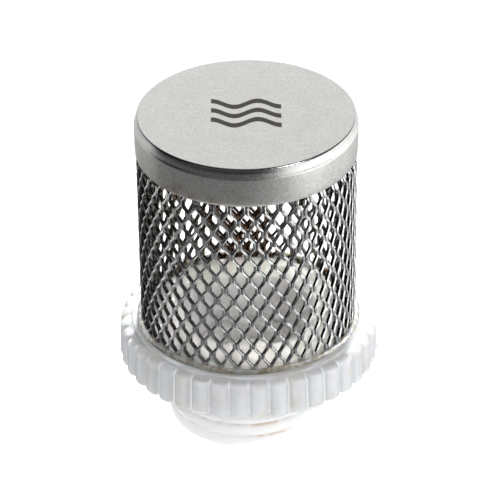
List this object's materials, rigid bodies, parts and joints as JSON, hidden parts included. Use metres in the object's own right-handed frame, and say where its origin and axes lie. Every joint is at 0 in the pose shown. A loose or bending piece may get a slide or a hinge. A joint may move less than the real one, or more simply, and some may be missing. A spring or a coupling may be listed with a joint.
{
  "type": "foot valve",
  "caption": "Foot valve with a capped stainless mesh strainer basket on a ribbed nylon base, a male threaded spigot and a spring-loaded check poppet in its bore.",
  "frame": {"origin": "centre of the threaded spigot's end face, the lowest plane of the part", "axes": "+Z along the valve's axis, from the spigot's end towards the capped end of the basket; the part is round about Z, so X and Y are free"},
  "size_m": [0.0336, 0.0336, 0.0442],
  "materials": {
    "stainless_cap": "satin pressed stainless",
    "stainless_mesh": "bright expanded stainless",
    "nylon": "milky translucent moulded nylon",
    "resin": "clear yellowish cured resin",
    "acetal": "white moulded acetal",
    "gasket_rubber": "pale elastomer sheet",
    "seal_rubber": "translucent silicone rubber",
    "spring_steel": "drawn stainless wire"
  },
  "bodies": {
    "housing": {"cap": "stainless_cap", "basket": "stainless_mesh", "base": "nylon", "bond_bead": "resin", "collar_gasket": "gasket_rubber", "seat_ring": "acetal", "seat_o_ring": "seal_rubber", "guide_spider": "acetal", "return_spring": "spring_steel", "retaining_ring": "spring_steel"},
    "poppet": {"poppet": "acetal", "poppet_seal": "seal_rubber", "seal_retainer": "acetal"}
  },
  "joints": [
    {"name": "poppet_slide", "type": "slide", "parent": "housing", "child": "poppet", "axis": [0, 0, -1], "range_m": [0, 0.0023], "stiffness_N_per_m": 150, "springref_m": -0.002, "deforming": ["return_spring"]}
  ]
}
